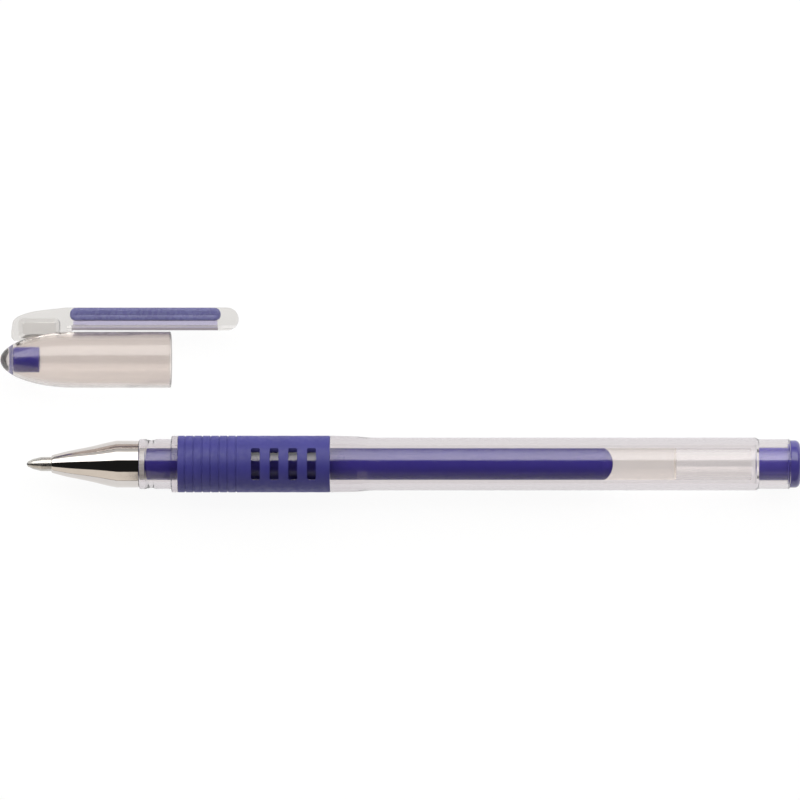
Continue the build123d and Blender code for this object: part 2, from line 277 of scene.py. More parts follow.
def noise(nodes, size, stretch=(1, 1, 1), detail=3.0):
    """Noise whose features are size millimetres across, drawn out by stretch along X, Y and Z."""
    links = nodes.id_data.links
    where = nodes.new("ShaderNodeTexCoord")
    scale = nodes.new("ShaderNodeMapping")
    scale.inputs["Scale"].default_value = [1 / (size * MM * along) for along in stretch]
    texture = nodes.new("ShaderNodeTexNoise")
    texture.inputs["Scale"].default_value = 1.0
    texture.inputs["Detail"].default_value = detail
    links.new(where.outputs["Object"], scale.inputs["Vector"])
    links.new(scale.outputs["Vector"], texture.inputs["Vector"])
    return texture.outputs["Fac"]


def between(nodes, factor, low, high, start=0.35, end=0.65):
    """A number that goes from low to high as factor goes from start to end."""
    ranged = nodes.new("ShaderNodeMapRange")
    ranged.inputs["From Min"].default_value = start
    ranged.inputs["From Max"].default_value = end
    ranged.inputs["To Min"].default_value = low
    ranged.inputs["To Max"].default_value = high
    nodes.id_data.links.new(factor, ranged.inputs["Value"])
    return ranged.outputs["Result"]


def blended(nodes, factor, first, second):
    """A colour that goes from first to second as factor goes from 0.35 to 0.65."""
    mix = nodes.new("ShaderNodeMix")
    mix.data_type = "RGBA"
    mix.inputs["A"].default_value = (*first, 1)
    mix.inputs["B"].default_value = (*second, 1)
    nodes.id_data.links.new(between(nodes, factor, 0, 1), mix.inputs["Factor"])
    return mix.outputs["Result"]


def relief(nodes, shader, height, depth):
    """Bump of depth millimetres on a shader."""
    bump = nodes.new("ShaderNodeBump")
    bump.inputs["Strength"].default_value = 1.0
    bump.inputs["Distance"].default_value = depth * MM
    nodes.id_data.links.new(height, bump.inputs["Height"])
    nodes.id_data.links.new(bump.outputs["Normal"], shader.inputs["Normal"])


TINT_DENSITY = 100  # per metre; the colour says which share of it is let by


def clear_plastic(
    name, tint, second_tint, ior, smooth, rough, flow=(14, 1, 1), depth=0.0001, within=None
):
    """Clear moulded plastic with a faint tint, flow marks and rubbed patches; it casts no shadow.

    within is what the plastic takes off per metre in its thickness, in each colour.
    """
    material, nodes, shader, output = new_material(name)
    links = nodes.id_data.links
    shader.inputs["Transmission Weight"].default_value = 1.0
    shader.inputs["IOR"].default_value = ior
    drift = noise(nodes, 5, flow)
    links.new(blended(nodes, drift, tint, second_tint), shader.inputs["Base Color"])
    rubbed = noise(nodes, 1.5, (3, 1, 1), detail=6)
    links.new(between(nodes, rubbed, smooth, rough), shader.inputs["Roughness"])
    relief(nodes, shader, noise(nodes, 1.2, flow, detail=2), depth)
    path = nodes.new("ShaderNodeLightPath")
    through = nodes.new("ShaderNodeBsdfTransparent")
    mix = nodes.new("ShaderNodeMixShader")
    links.new(path.outputs["Is Shadow Ray"], mix.inputs["Fac"])
    links.new(shader.outputs["BSDF"], mix.inputs[1])
    links.new(through.outputs["BSDF"], mix.inputs[2])
    links.new(mix.outputs["Shader"], output.inputs["Surface"])
    if within:
        depth_tint = nodes.new("ShaderNodeVolumeAbsorption")
        left = [1 - part / TINT_DENSITY for part in within]
        depth_tint.inputs["Color"].default_value = (*left, 1)
        depth_tint.inputs["Density"].default_value = TINT_DENSITY
        links.new(depth_tint.outputs["Volume"], output.inputs["Volume"])
    return material


def plastic(
    name, colour, second, smooth, rough, grain=0.25, depth=0.003, stretch=(1, 1, 1), gloss=0.5
):
    """Opaque moulded plastic or rubber with grain-sized relief and a slow drift of colour."""
    material, nodes, shader, _ = new_material(name)
    links = nodes.id_data.links
    shader.inputs["Specular IOR Level"].default_value = gloss
    links.new(blended(nodes, noise(nodes, 4, stretch), colour, second), shader.inputs["Base Color"])
    rubbed = noise(nodes, 0.8, stretch, detail=5)
    links.new(between(nodes, rubbed, smooth, rough), shader.inputs["Roughness"])
    relief(nodes, shader, noise(nodes, grain, stretch, detail=4), depth)
    return material


def metal(name, colour, second, smooth, rough, ring=0.05, depth=0.0006):
    """Turned and plated metal with fine tool rings."""
    material, nodes, shader, _ = new_material(name)
    links = nodes.id_data.links
    shader.inputs["Metallic"].default_value = 1.0
    links.new(blended(nodes, noise(nodes, 3), colour, second), shader.inputs["Base Color"])
    rubbed = noise(nodes, 0.6, (2, 1, 1), detail=6)
    links.new(between(nodes, rubbed, smooth, rough), shader.inputs["Roughness"])
    relief(nodes, shader, noise(nodes, ring, (1, 200, 200), detail=2), depth)
    return material


# ---------------------------------------------------------------- materials
clear_barrel = clear_plastic(
    "clear_barrel",
    (0.995, 0.978, 0.975),
    (0.99, 0.973, 0.97),
    1.53,
    0.01,
    0.03,
    depth=0.00003,
    within=(56, 68, 58),
)
clear_cap = clear_plastic(
    "clear_cap", (0.885, 0.83, 0.8), (0.865, 0.81, 0.78), 1.49, 0.1, 0.18, depth=0.003
)
clear_clip = clear_plastic(
    "clear_clip", (0.97, 0.95, 0.925), (0.955, 0.935, 0.91), 1.49, 0.08, 0.14, depth=0.002
)
# Rougher clear plastic for the bridge's pockets, darkened with painted shade for the recess
pocket_painted_shade_clip = clear_plastic(
    "clear_clip_rough_pocket_painted_shade", (0.73, 0.7, 0.67), (0.7, 0.67, 0.64), 1.49, 0.3, 0.4, depth=0.002
)
# Lavender clear plastic: a painted reflection of the blue strip, for the channels below it
channel_painted_reflection_clip = clear_plastic(
    "clear_clip_channel_painted_reflection", (0.66, 0.62, 0.8), (0.63, 0.59, 0.78), 1.49, 0.1, 0.2, depth=0.001
)
# Dark clear plastic: painted shade for the rib's flanks under the strip
flank_painted_shade_clip = clear_plastic(
    "clear_clip_flank_painted_shade", (0.42, 0.38, 0.42), (0.39, 0.35, 0.39), 1.49, 0.15, 0.25, depth=0.001
)
tube_plastic = clear_plastic(
    "refill_plastic", (0.99, 0.985, 0.975), (0.98, 0.975, 0.965), 1.36, 0.03, 0.08
)
grease = clear_plastic(
    "follower_grease", (0.99, 0.97, 0.93), (0.98, 0.955, 0.91), 1.0, 0.0, 0.02, (2, 1, 1), depth=0
)
plated = metal("cone_metal", (0.66, 0.625, 0.6), (0.63, 0.595, 0.57), 0.04, 0.08)
steel = metal("tip_steel", (0.6, 0.585, 0.55), (0.52, 0.5, 0.47), 0.22, 0.34)
carbide = metal("ball_carbide", (0.22, 0.22, 0.23), (0.16, 0.16, 0.17), 0.2, 0.35, ring=0.1)
rubber = plastic(
    "grip_rubber", (0.04, 0.037, 0.235), (0.047, 0.043, 0.26), 0.42, 0.62, grain=0.12, depth=0.012
)
plug_plastic = plastic("plug_blue", (0.062, 0.05, 0.27), (0.07, 0.057, 0.295), 0.12, 0.22, gloss=0.8)
seal_plastic = plastic("seal_blue", (0.038, 0.032, 0.23), (0.048, 0.04, 0.26), 0.2, 0.4)
inlay_plastic = plastic("inlay_blue", (0.145, 0.147, 0.33), (0.155, 0.158, 0.35), 0.2, 0.36)
# Pale lavender: painted light for the band below the strip, put on the strip's underside
inlay_underside_painted_light = plastic("inlay_blue_underside_painted_light", (0.62, 0.59, 0.76), (0.58, 0.55, 0.73), 0.3, 0.45)
ink_gel = plastic(
    "ink_blue", (0.044, 0.034, 0.23), (0.052, 0.041, 0.26), 0.45, 0.6, 1.0, 0.001, (12, 1, 1), 0.0
)
holder_plastic = plastic("holder_white", (0.78, 0.77, 0.74), (0.72, 0.71, 0.68), 0.3, 0.5)


# ---------------------------------------------------------------- barrel
SPIGOT_CREST = 3.88
SPIGOT_ROOT = 3.7
THREAD_PITCH = 1.0
THREAD_STEP = 0.1
NOSE_R = 4.64
GROOVE_R = 4.45
GRIP_R = 5.25
SEAT_R = 4.35
BARREL_R = 4.9
TAIL_R = 4.62
FRONT_BORE_R = 3.4
REAR_BORE_R = 3.8
FLARE_END_X = GRIP_TOP.x + 11.5
TAIL_STEP_X = BARREL_TOP.x - 6.1
BORE_STEP_X = GRIP_TOP.x - 2.3
nose_x = CONE_TOP.x + 0.01
flange_x = GRIP.x - 1.2
groove_x = nose_x + 1.7
thread_end = nose_x - 0.7
lead_in = 0.6


def thread(x, r, angle):
    """Raises a screw ridge on the spigot, fading out at both ends."""
    if r < SPIGOT_ROOT - MM or r > SPIGOT_ROOT + MM or not BARREL.x + MM < x < thread_end:
        return r
    fade = min(1, (x - BARREL.x) / lead_in, (thread_end - x) / lead_in)
    turn = ((x - BARREL.x) / THREAD_PITCH - angle / (2 * pi)) % 1
    ridge = max(0, 1 - abs(turn - 0.5) / 0.3)
    return r + (SPIGOT_CREST - SPIGOT_ROOT) * fade * min(1, 1.6 * ridge)


spigot = []
spigot_x = BARREL.x + 0.3
while spigot_x < thread_end:
    spigot.append((spigot_x, SPIGOT_ROOT))
    spigot_x += THREAD_STEP

barrel = turned(
    "barrel_body",
    [
        (BARREL.x, FRONT_BORE_R, 0.1),
        (BARREL.x, SPIGOT_ROOT, 0.12),
        *spigot,
        (nose_x, SPIGOT_ROOT, 0.1),
        (nose_x, NOSE_R, 0.3),
        *curve(
            [
                (groove_x - 0.5, NOSE_R),
                (groove_x, GROOVE_R + 0.04),
                (groove_x + 0.5, GROOVE_R),
                (groove_x + 1.0, GROOVE_R + 0.04),
                (groove_x + 1.5, NOSE_R),
            ]
        ),
        (flange_x, NOSE_R, 0.12),
        (flange_x, GRIP_R, 0.2),
        (GRIP.x, GRIP_R, 0.05),
        (GRIP.x, SEAT_R, 0.05),
        (GRIP_TOP.x, SEAT_R, 0.05),
        (GRIP_TOP.x, GRIP_R, 0.08),
        *curve(
            [
                (GRIP_TOP.x + 0.3, GRIP_R),
                (GRIP_TOP.x + 4.5, GRIP_R - 0.1),
                (FLARE_END_X - 4, BARREL_R + 0.03),
                (FLARE_END_X, BARREL_R),
            ]
        ),
        (TAIL_STEP_X - 0.2, BARREL_R, 0.4),
        (TAIL_STEP_X + 0.2, TAIL_R, 0.3),
        (BARREL_TOP.x, TAIL_R, 0.25),
        (BARREL_TOP.x, REAR_BORE_R, 0.1),
        (BORE_STEP_X + 1.5, REAR_BORE_R, 0.6),
        (BORE_STEP_X, FRONT_BORE_R, 0.6),
    ],
    PEN_AXIS,
    clear_barrel,
    closed=True,
    wave=thread,
)
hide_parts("barrel")
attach(barrel, "barrel")

# ---------------------------------------------------------------- tail plug
PLUG_STEM_R = 3.06
PLUG_CORE_R = 2.0
PLUG_CORE_DEPTH = 3.6
PLUG_BAND = 0.4
plug_r = (PLUG_TOP.y - PLUG.y) / 2
plug = turned(
    "tail_plug_body",
    [
        (PLUG.x + PLUG_CORE_DEPTH, 0),
        (PLUG.x + PLUG_CORE_DEPTH, PLUG_CORE_R, 0.2),
        (PLUG.x, PLUG_CORE_R, 0.15),
        (PLUG.x, PLUG_STEM_R, 0.2),
        (BARREL_TOP.x - PLUG_BAND, PLUG_STEM_R, 0.15),
        (BARREL_TOP.x - PLUG_BAND, REAR_BORE_R, 0.1),
        (BARREL_TOP.x, REAR_BORE_R, 0.05),
        (BARREL_TOP.x, plug_r, 0.15),
        (PLUG_TOP.x, plug_r, 0.9),
        (PLUG_TOP.x, 1.1, 0.1),
        (PLUG_TOP.x - 0.15, 0.95, 0.1),
        (PLUG_TOP.x - 0.15, 0),
    ],
    PEN_AXIS,
    plug_plastic,
)
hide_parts("tail_plug")
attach(plug, "barrel")

# ---------------------------------------------------------------- grip sleeve
RIB_COUNT = 7
RIB_PITCH = 1.57
RIB_FIRST = 1.35
RIB_GROOVE = 0.3
RIB_DEPTH = 0.12
RIB_SLOPE = 0.06
WINDOW_ROWS = 3
WINDOW_COUNT = 4
WINDOW_FIRST = 14.4
WINDOW_PITCH = 3.45
WINDOW_WIDTH = 1.63
WINDOW_NEAR = -2.65  # the window's straight end, and its sloping end at the two heights below
WINDOW_FAR = (1.95, 5.2)
WINDOW_LEVELS = (3.2, 5.4)
WINDOW_TURN = 4  # degrees from straight up, towards -Y
WINDOW_CORNER = 0.4
WINDOW_EDGE = 0.22

ribs = []
for rib in range(RIB_COUNT):
    rib_x = GRIP.x + RIB_FIRST + rib * RIB_PITCH
    ribs += [
        (rib_x - RIB_GROOVE / 2, GRIP_R, 0.05),
        (rib_x - RIB_GROOVE / 2 + RIB_SLOPE, GRIP_R - RIB_DEPTH, 0.04),
        (rib_x + RIB_GROOVE / 2 - RIB_SLOPE, GRIP_R - RIB_DEPTH, 0.04),
        (rib_x + RIB_GROOVE / 2, GRIP_R, 0.05),
    ]
grip = turned(
    "grip_sleeve_body",
    [
        (GRIP.x, SEAT_R),
        (GRIP.x, GRIP_R, 0.16),
        *ribs,
        (GRIP_TOP.x, GRIP_R, 0.16),
        (GRIP_TOP.x, SEAT_R),
    ],
    PEN_AXIS,
    rubber,
    closed=True,
)
grip = settle(grip)
for row in range(WINDOW_ROWS):
    windows = bmesh.new()
    for window in range(WINDOW_COUNT):
        x = GRIP.x + WINDOW_FIRST + window * WINDOW_PITCH
        low, high = (
            [
                (x + WINDOW_WIDTH / 2, WINDOW_NEAR, WINDOW_CORNER),
                (x + WINDOW_WIDTH / 2, far, WINDOW_CORNER),
                (x - WINDOW_WIDTH / 2, far, WINDOW_CORNER),
                (x - WINDOW_WIDTH / 2, WINDOW_NEAR, WINDOW_CORNER),
            ]
            for far in WINDOW_FAR
        )
        tapered(windows, low, high, *WINDOW_LEVELS)
    tool = piece("windows", windows)
    tool.location = (0, PEN_AXIS.y * MM, PEN_AXIS.z * MM)
    tool.rotation_euler = (radians(WINDOW_TURN) - 2 * pi * row / WINDOW_ROWS, 0, 0)
    bpy.context.view_layer.update()
    cut(grip, tool)
round_edges(grip, WINDOW_EDGE)
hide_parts("grip_sleeve")
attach(grip, "barrel")

# ---------------------------------------------------------------- refill
TUBE_BORE_R = 2.25
WETTED = 0.02  # how far the ink and the seal reach into the plastic that holds them, so that no gap shows
INK_DOME = 2.1
FOLLOWER_DISH = 0.4


def cap_of_sphere(x, depth, r, steps=12):
    """Points from the rim of a dome at radius r to its pole at x; a negative depth is a dish."""
    ball_r = (r * r + depth * depth) / (2 * abs(depth))
    sign = 1 if depth > 0 else -1
    opening = atan2(r, ball_r - abs(depth))
    turns = [opening * (1 - step / steps) for step in range(steps + 1)]
    return [(x - sign * ball_r * (1 - cos(turn)), ball_r * sin(turn)) for turn in turns]


# The tube is drawn as one clear body, with no bore, up to the grease's rear end, because its wall
# bends light much as the grease does. The grease inside it then bends none, so its IOR is 1.
tube_r = (TUBE_TOP.y - TUBE.y) / 2
dish_x = FOLLOWER_TOP.x - FOLLOWER_DISH
tube = turned(
    "refill_tube_body",
    [
        (TUBE.x, 0),
        (TUBE.x, tube_r, 0.08),
        (TUBE_TOP.x, tube_r, 0.12),
        (TUBE_TOP.x, TUBE_BORE_R, 0.12),
        *cap_of_sphere(dish_x, -FOLLOWER_DISH, TUBE_BORE_R),
    ],
    PEN_AXIS,
    tube_plastic,
)
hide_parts("refill_tube")
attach(tube, "refill")

ink_r = TUBE_BORE_R + WETTED
ink = turned(
    "gel_ink_column",
    [(INK.x, 0), (INK.x, ink_r, 0.1), *cap_of_sphere(INK_TOP.x, INK_DOME, ink_r)],
    PEN_AXIS,
    ink_gel,
)
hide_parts("gel_ink")
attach(ink, "refill")

CLEARANCE = 0.015
follower_r = TUBE_BORE_R - CLEARANCE
follower = turned(
    "follower_grease_plug",
    [
        *cap_of_sphere(INK_TOP.x + CLEARANCE, INK_DOME, follower_r)[::-1],
        *cap_of_sphere(dish_x - CLEARANCE, -FOLLOWER_DISH, follower_r),
    ],
    PEN_AXIS,
    grease,
)
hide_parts("ink_follower")
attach(follower, "refill")

# ---------------------------------------------------------------- tip holder, tip and ball
HOLDER_CHANNEL_R = 0.8
HOLDER_COLLAR_X = HOLDER.x + 6.9
HOLDER_NECK_X = HOLDER.x + 1.8
HOLDER_NECK_R = 1.72
HOLDER_FRONT_R = 1.5
SHANK_R = 0.9
TIP_R = 1.32
TIP_NOSE_X = TIP.x + 2.55
RIM_R = 0.46
holder = turned(
    "tip_holder_body",
    [
        (HOLDER_TOP.x, HOLDER_CHANNEL_R, 0.1),
        (HOLDER_TOP.x, TUBE_BORE_R - CLEARANCE, 0.15),
        (TUBE.x, TUBE_BORE_R - CLEARANCE),
        (TUBE.x - CLEARANCE, tube_r, 0.12),
        (HOLDER_COLLAR_X, tube_r, 0.3),
        (HOLDER_NECK_X, HOLDER_NECK_R, 0.3),
        (HOLDER.x, HOLDER_FRONT_R, 0.15),
        (HOLDER.x, SHANK_R),
        (TIP_TOP.x, SHANK_R),
        (TIP_TOP.x, HOLDER_CHANNEL_R),
    ],
    PEN_AXIS,
    holder_plastic,
    closed=True,
)
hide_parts("tip_holder")
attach(holder, "refill")

ball_r = (BALL_TOP.y - BALL.y) / 2
ball_x = (BALL.x + BALL_TOP.x) / 2
SOCKET_GAP = 0.02
socket_r = ball_r + SOCKET_GAP
lip = socket_r - 0.035
tip = turned(
    "tip_body_cone",
    [
        (TIP_TOP.x, 0.2),
        (TIP_TOP.x, SHANK_R - CLEARANCE, 0.05),
        (HOLDER.x, SHANK_R - CLEARANCE),
        (HOLDER.x - CLEARANCE, TIP_R, 0.08),
        (TIP_NOSE_X, TIP_R, 0.3),
        (TIP.x + 0.95, 0.93, 0.3),
        (TIP.x, RIM_R, 0.04),
        (TIP.x, lip, 0.01),
        *arc(ball_x, 0, socket_r, 110, 32)[1:],
    ],
    PEN_AXIS,
    steel,
    closed=True,
)
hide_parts("tip_body")
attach(tip, "refill")

ball = turned(
    "writing_ball_sphere",
    [(BALL.x, 0), *arc(ball_x, 0, ball_r, 174, 6, 28), (BALL_TOP.x, 0)],
    PEN_AXIS,
    carbide,
)
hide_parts("writing_ball")
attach(ball, "ball")

# ---------------------------------------------------------------- front cone
CONE_FRONT_R = 1.6
CONE_MOUTH_R = 1.4
CONE_THREAD_R = 3.92
CONE_STRAIGHT = 4.2
cone_r = (CONE_TOP.y - CONE.y) / 2
straight_x = CONE_TOP.x - CONE_STRAIGHT
cone = turned(
    "front_cone_shell",
    [
        (CONE.x, CONE_MOUTH_R, 0.12),
        (CONE.x, CONE_FRONT_R - 0.02, 0.12),
        *curve(
            [
                (CONE.x + 0.25, CONE_FRONT_R + 0.1),
                (CONE.x + 3.05, 2.42),
                (CONE.x + 7.15, 3.24),
                (CONE.x + 10.35, 4.02),
                (straight_x, cone_r),
            ]
        ),
        (CONE_TOP.x, cone_r, 0.12),
        (CONE_TOP.x, CONE_THREAD_R, 0.12),
        (straight_x - 0.9, CONE_THREAD_R, 0.2),
        (straight_x - 2.1, 3.4, 0.5),
        (CONE.x + 4.35, 2.1, 0.5),
        (CONE.x + 1.95, 1.75, 0.3),
        (CONE.x + 1.25, CONE_MOUTH_R, 0.1),
    ],
    PEN_AXIS,
    plated,
    closed=True,
)
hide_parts("front_cone")
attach(cone, "cone")

# ---------------------------------------------------------------- cap shell
DOME = 14.0
INNER_DOME = 13.475
CLOSED_END = 2.6
MOUTH_BORE_R = 4.7
CAP_BORE_R = 4.5
MOUTH_DEPTH = 6.7
MOUTH_RAMP = 3.0
MOUTH_CHAMFER = 0.12
SNAP_COUNT = 3
SNAP_X = CAP_TOP.x - 3.8
SNAP_R = 0.35
SNAP_HEIGHT = 0.12
cap_r = (CAP_TOP.z - CAP.z) / 2
dome_x = CAP.x + DOME
cavity_x = CAP.x + CLOSED_END
seat_turn = 180 - degrees(acos((dome_x - cavity_x) / INNER_DOME))


def snaps(x, r, angle):
    """Raises the three snap bumps inside the mouth."""
    if r > cap_r - 0.3 or abs(x - SNAP_X) > SNAP_R:
        return r
    for snap in range(SNAP_COUNT):
        turn = (angle + 2 * pi * snap / SNAP_COUNT + pi) % (2 * pi) - pi
        away = sqrt((x - SNAP_X) ** 2 + (turn * r) ** 2) / SNAP_R
        if away < 1:
            return r - SNAP_HEIGHT * (1 - away**2)
    return r


cap = turned(
    "cap_shell_body",
    [
        (CAP.x, 0),
        *oval(dome_x, DOME, cap_r, 180, 90, 48)[1:],
        (CAP_TOP.x, cap_r, 0.3),
        (CAP_TOP.x, MOUTH_BORE_R + MOUTH_CHAMFER),
        (CAP_TOP.x - MOUTH_CHAMFER, MOUTH_BORE_R),
        *[(SNAP_X - step * 0.07, MOUTH_BORE_R) for step in range(-6, 7)],
        *curve(
            [
                (CAP_TOP.x - MOUTH_DEPTH + MOUTH_RAMP / 2, MOUTH_BORE_R - 0.01),
                (CAP_TOP.x - MOUTH_DEPTH, CAP_BORE_R + 0.14),
                (CAP_TOP.x - MOUTH_DEPTH - MOUTH_RAMP / 2, CAP_BORE_R + 0.04),
                (CAP_TOP.x - MOUTH_DEPTH - MOUTH_RAMP, CAP_BORE_R),
            ]
        ),
        *oval(dome_x, INNER_DOME, CAP_BORE_R, 90, seat_turn, 40),
        (cavity_x, 0),
    ],
    CAP_AXIS,
    clear_cap,
    wave=snaps,
)
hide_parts("cap_shell")
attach(cap, "cap")

# ---------------------------------------------------------------- inner seal
SEAL_BORE_R = 1.2
SEAL_BORE_DEPTH = 2.6
seal_r = (SEAL_TOP.z - SEAL.z) / 2
seal = turned(
    "inner_seal_plug",
    [
        (SEAL.x - WETTED, 0),
        (SEAL.x - WETTED, seal_r, 0.35),
        (SEAL_TOP.x, seal_r, 0.15),
        (SEAL_TOP.x, SEAL_BORE_R, 0.12),
        (SEAL_TOP.x - SEAL_BORE_DEPTH, SEAL_BORE_R, 0.1),
        (SEAL_TOP.x - SEAL_BORE_DEPTH, 0),
    ],
    CAP_AXIS,
    seal_plastic,
)
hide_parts("inner_seal")
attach(seal, "cap")

# ---------------------------------------------------------------- clip, in one piece with its bridge
clip_top = CLIP_TOP.y
clip_under = CLIP.y
clip_width = CLIP_TOP.z - CLIP.z
knuckle_x = CLIP.x + (clip_top - clip_under) / 2
BRIDGE_BACK = 11.0
ROOT_BACK = 0.8
FOOT = 3.5
bridge_x = knuckle_x - BRIDGE_BACK
root_x = knuckle_x - ROOT_BACK
foot_y = CAP_AXIS.y + FOOT
clip_mesh = bmesh.new()
plate(
    clip_mesh,
    [
        (bridge_x + 0.5, foot_y, 0.4),
        (bridge_x, foot_y + 0.6, 0.4),
        *curve(
            [
                (bridge_x, foot_y + 1.8),
                (bridge_x + 0.6, foot_y + 4.0),
                (bridge_x + 3.8, foot_y + 5.35),
                (root_x, clip_top),
            ]
        ),
        (CLIP_TOP.x, clip_top, 2.0),
        (CLIP_TOP.x, clip_under, 2.0),
        (knuckle_x + 0.4, clip_under, 0.5),
        (root_x, clip_under - 0.6, 0.4),
        (root_x, foot_y, 0.1),
    ],
    CAP_AXIS.z,
    clip_width,
)
clip = piece("cap_clip_and_bridge", clip_mesh, clear_clip)

# Two pockets with sloping walls leave a web between them in the bridge
POCKET_X = 1.3
POCKET_SIZE = (7.6, 3.7)
POCKET_Y = 3.95
POCKET_CORNER = 0.9
POCKET_SLOPE = 0.75
WEB = 1.4
pockets = bmesh.new()
pocket_x = bridge_x + POCKET_X
pocket_y = CAP_AXIS.y + POCKET_Y


def pocket_outline(inset):
    """The pocket's outline, drawn in by inset on every side."""
    far_x = pocket_x + POCKET_SIZE[0] - inset
    far_y = pocket_y + POCKET_SIZE[1] - inset
    corner = POCKET_CORNER - inset / 2
    return [
        (far_x, pocket_y + inset, corner),
        (far_x, far_y, corner),
        (pocket_x + inset, far_y, corner),
        (pocket_x + inset, pocket_y + inset, corner),
    ]


for side in (1, -1):
    floor_z = CAP_AXIS.z + side * WEB / 2
    face_z = CAP_AXIS.z + side * clip_width / 2
    tapered(
        pockets, pocket_outline(0), pocket_outline(POCKET_SLOPE), face_z + side * 0.01, floor_z
    )
# The pocket faces take the rougher plastic, darkened with painted shade
cut(clip, piece("pockets", pockets, pocket_painted_shade_clip))

# The arm's lower part is a narrower rib under a bevelled tray
TRAY_STEP = 0.4
TRAY_BEVEL = 0.5
RIB_WIDTH = 2.4
tray_y = clip_under + TRAY_STEP
EDGE_SKIM = 0.03


def rebates(start, end, skim):
    """The two rebates beside the rib, skim deeper than drawn."""
    bm = bmesh.new()
    for side in (1, -1):
        rib_z = CAP_AXIS.z + side * (RIB_WIDTH / 2 - skim)
        face_z = CAP_AXIS.z + side * clip_width / 2
        out_z = CAP_AXIS.z + side * clip_width
        bar(
            bm,
            start,
            end,
            [
                (clip_under - 1, rib_z),
                (tray_y + skim, rib_z),
                (tray_y + skim, face_z - side * TRAY_BEVEL),
                (tray_y + TRAY_BEVEL + skim, face_z),
                (tray_y + TRAY_BEVEL + skim, out_z),
                (clip_under - 1, out_z),
            ],
        )
    return bm


cut(clip, piece("rebates", rebates(root_x, CLIP_TOP.x + 1, 0)))
# The rib's flanks are skimmed along the strip, and the skimmed faces carry painted shade, a dark line
# under the strip
cut(clip, piece("flanks", rebates(INLAY.x + 0.3, INLAY_TOP.x - 0.5, EDGE_SKIM), flank_painted_shade_clip))

# Shallow channels beside the strip carry a painted reflection of its lavender colour
CHANNEL_WIDTH = 0.75
CHANNEL_DEPTH = 0.06
channels = bmesh.new()
for side, face_z in ((1, CLIP_TOP.z), (-1, CLIP.z)):
    bar(
        channels,
        INLAY.x + 0.6,
        INLAY_TOP.x - 0.6,
        [
            (INLAY.y - CHANNEL_WIDTH, face_z - side * CHANNEL_DEPTH / 3),
            (INLAY.y, face_z - side * CHANNEL_DEPTH),
            (INLAY.y, face_z + side),
            (INLAY.y - CHANNEL_WIDTH, face_z + side),
        ],
    )
cut(clip, piece("channels", channels, channel_painted_reflection_clip))
CLIP_EDGE = 0.4
BEVEL_SPARED = 50
round_edges(clip, CLIP_EDGE, steps=4, angle=BEVEL_SPARED).modifiers.clear()

# The bridge's foot follows the shell, a hair inside its surface
ROOTED = 0.03
core = turned_mesh(
    [
        (CAP.x + ROOTED, 0),
        *oval(dome_x, DOME - ROOTED, cap_r - ROOTED, 180, 90, 48)[1:],
        (CAP_TOP.x, cap_r - ROOTED),
        (CAP_TOP.x, 0),
    ],
    CAP_AXIS,
)
cut(clip, piece("core", core))

BEND_START = 0.8
BEND_END = 3.2
BEND_CUTS = 8
bend_start = knuckle_x - BEND_START
bend_end = knuckle_x + BEND_END


def bends(made):
    """Adds edges across a piece where the clip bends, smooths its shading and bakes its placement into
    its mesh.
    """
    for step in range(1, BEND_CUTS + 1):
        slice_mesh(made, bend_start + (bend_end - bend_start) * step / BEND_CUTS)
    shade(made)
    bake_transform(made)


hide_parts("clip_arm")
bends(clip)

# ---------------------------------------------------------------- clip inlay
INLAY_ROUND = 1.1
inlay_mesh = bmesh.new()
plate(
    inlay_mesh,
    [
        (INLAY.x, INLAY.y, INLAY_ROUND),
        (INLAY.x, INLAY_TOP.y, INLAY_ROUND),
        (INLAY_TOP.x, INLAY_TOP.y, INLAY_ROUND),
        (INLAY_TOP.x, INLAY.y, INLAY_ROUND),
    ],
    CAP_AXIS.z,
    INLAY_TOP.z - INLAY.z,
)
inlay = piece("clip_inlay_strip", inlay_mesh, inlay_plastic, inlay_underside_painted_light)

# A fine line along both faces of the strip
LINE_Y = 1.35
LINE_WIDTH = 0.5
LINE_DEPTH = 0.1
line_y = INLAY_TOP.y - LINE_Y
lines = bmesh.new()
for side, face_z in ((1, INLAY_TOP.z), (-1, INLAY.z)):
    bar(
        lines,
        INLAY.x + 0.9,
        INLAY_TOP.x - 0.9,
        [
            (line_y - LINE_WIDTH, face_z + side * LINE_DEPTH),
            (line_y, face_z - side * LINE_DEPTH),
            (line_y + LINE_WIDTH, face_z + side * LINE_DEPTH),
        ],
    )
round_edges(inlay, 0.5, steps=5).modifiers.clear()
# The strip's downward faces get painted light, the pale band below the strip
for face in inlay.data.polygons:
    if face.normal.y < -0.75:
        face.material_index = 1
cut(inlay, piece("lines", lines))
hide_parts("clip_inlay")
bends(inlay)


# ---------------------------------------------------------------- floor, light and camera
FLOOR_SIZE = 4.0
FLOOR_GLOW = 0.93
FLOOR_GLOW_THROUGH = 0.75  # as seen through clear parts
floor_mesh = bmesh.new()
bmesh.ops.create_grid(floor_mesh, x_segments=1, y_segments=1, size=FLOOR_SIZE / 2 / MM)
floor_material, floor_nodes, floor_shader, _ = new_material("white_table")
floor_shader.inputs["Base Color"].default_value = (0.1, 0.1, 0.1, 1)
floor_shader.inputs["Roughness"].default_value = 1.0
floor_shader.inputs["Specular IOR Level"].default_value = 0.0
floor_shader.inputs["Emission Color"].default_value = (1, 1, 1, 1)
floor_path = floor_nodes.new("ShaderNodeLightPath")
floor_glow = floor_nodes.new("ShaderNodeMapRange")
floor_glow.inputs["To Min"].default_value = FLOOR_GLOW
floor_glow.inputs["To Max"].default_value = FLOOR_GLOW_THROUGH
floor_links = floor_nodes.id_data.links
floor_links.new(floor_path.outputs["Is Transmission Ray"], floor_glow.inputs["Value"])
floor_links.new(floor_glow.outputs["Result"], floor_shader.inputs["Emission Strength"])
floor = piece("floor", floor_mesh, floor_material)

LIGHT_DISTANCE = 1.0


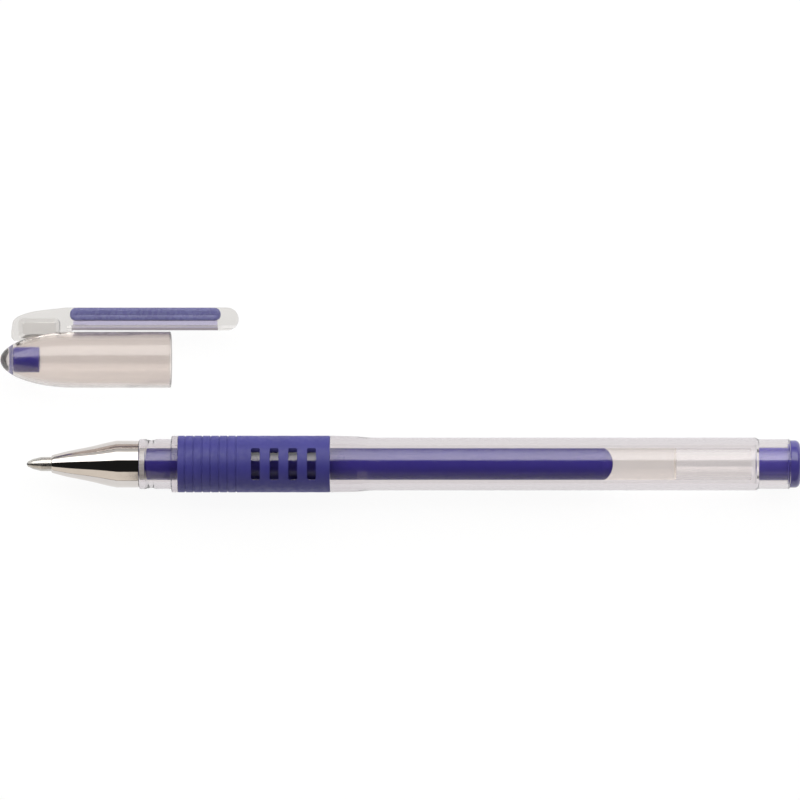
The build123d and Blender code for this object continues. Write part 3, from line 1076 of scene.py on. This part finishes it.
def softbox(name, first, last, colour, radiance, start=-1.5, end=1.5):
    """A soft panel along the pen from start to end, between two angles from straight up, towards +Y."""
    middle = radians((first + last) / 2)
    half = radians((last - first) / 2)
    width = 2 * LIGHT_DISTANCE * tan(half)
    lamp = bpy.data.lights.new(name, "AREA")
    lamp.shape = "RECTANGLE"
    lamp.size = end - start
    lamp.size_y = width
    lamp.color = colour
    lamp.energy = radiance * pi * lamp.size * width
    box = bpy.data.objects.new(name, lamp)
    bpy.context.scene.collection.objects.link(box)
    box.location = ((start + end) / 2, LIGHT_DISTANCE * sin(middle), LIGHT_DISTANCE * cos(middle))
    box.rotation_euler = (-middle, 0, 0)
    box.visible_camera = False
    return box


NOSE_EDGE = -0.088  # the warm card beside the nose ends here
softbox("key_box", 19, 62, (1.0, 0.99, 0.97), 2.7)
softbox("key_rim", 62, 79, (1.0, 0.98, 0.96), 0.7)
softbox("nose_card", -88, -39, (1.0, 0.92, 0.82), 0.92, end=NOSE_EDGE)
softbox("fill_box", -88, -39, (1.0, 0.95, 0.9), 0.25, start=NOSE_EDGE)

world = bpy.data.worlds.new("studio")
bpy.context.scene.world = world
world.use_nodes = True
backdrop = world.node_tree.nodes["Background"]
# The room is dark to reflections, and pale to the camera and, near the horizon, through clear parts
DARK_ROOM = 0.015
PALE_WALL = 0.95
WALL_SHARE = 0.75  # the share of that paleness seen through clear parts
WALL_TOP = (0.04, 0.16)  # heights at which the wall starts and ends its fade
room = world.node_tree.nodes
room_links = world.node_tree.links
path = room.new("ShaderNodeLightPath")
where = room.new("ShaderNodeTexCoord")
height = room.new("ShaderNodeSeparateXYZ")
wall = room.new("ShaderNodeMapRange")
wall.inputs["From Min"].default_value = WALL_TOP[0]
wall.inputs["From Max"].default_value = WALL_TOP[1]
wall.inputs["To Min"].default_value = WALL_SHARE
wall.inputs["To Max"].default_value = 0.0
through = room.new("ShaderNodeMath")
through.operation = "MULTIPLY"
seen = room.new("ShaderNodeMath")
seen.operation = "MAXIMUM"
level = room.new("ShaderNodeMapRange")
level.inputs["To Min"].default_value = DARK_ROOM
level.inputs["To Max"].default_value = PALE_WALL
room_links.new(where.outputs["Generated"], height.inputs["Vector"])
room_links.new(height.outputs["Z"], wall.inputs["Value"])
room_links.new(wall.outputs["Result"], through.inputs[0])
room_links.new(path.outputs["Is Transmission Ray"], through.inputs[1])
room_links.new(path.outputs["Is Camera Ray"], seen.inputs[0])
room_links.new(through.outputs["Value"], seen.inputs[1])
room_links.new(seen.outputs["Value"], level.inputs["Value"])
room_links.new(level.outputs["Result"], backdrop.inputs["Strength"])
backdrop.inputs["Color"].default_value = (1, 1, 1, 1)

LENS = 300
FIELD = 0.1482  # metres across the picture at the pen's height
camera_data = bpy.data.cameras.new("camera")
camera_data.lens = LENS
camera_data.sensor_width = 36
camera_data.clip_end = 20
camera = bpy.data.objects.new("camera", camera_data)
camera.location = (0, 0, FIELD * LENS / camera_data.sensor_width + PEN_AXIS.z * MM)
bpy.context.scene.collection.objects.link(camera)
bpy.context.scene.camera = camera

bpy.context.scene.view_settings.view_transform = "Standard"
bpy.context.scene.view_settings.look = "None"
bpy.context.scene.cycles.max_bounces = 24
bpy.context.scene.cycles.transmission_bounces = 20
bpy.context.scene.cycles.transparent_max_bounces = 24
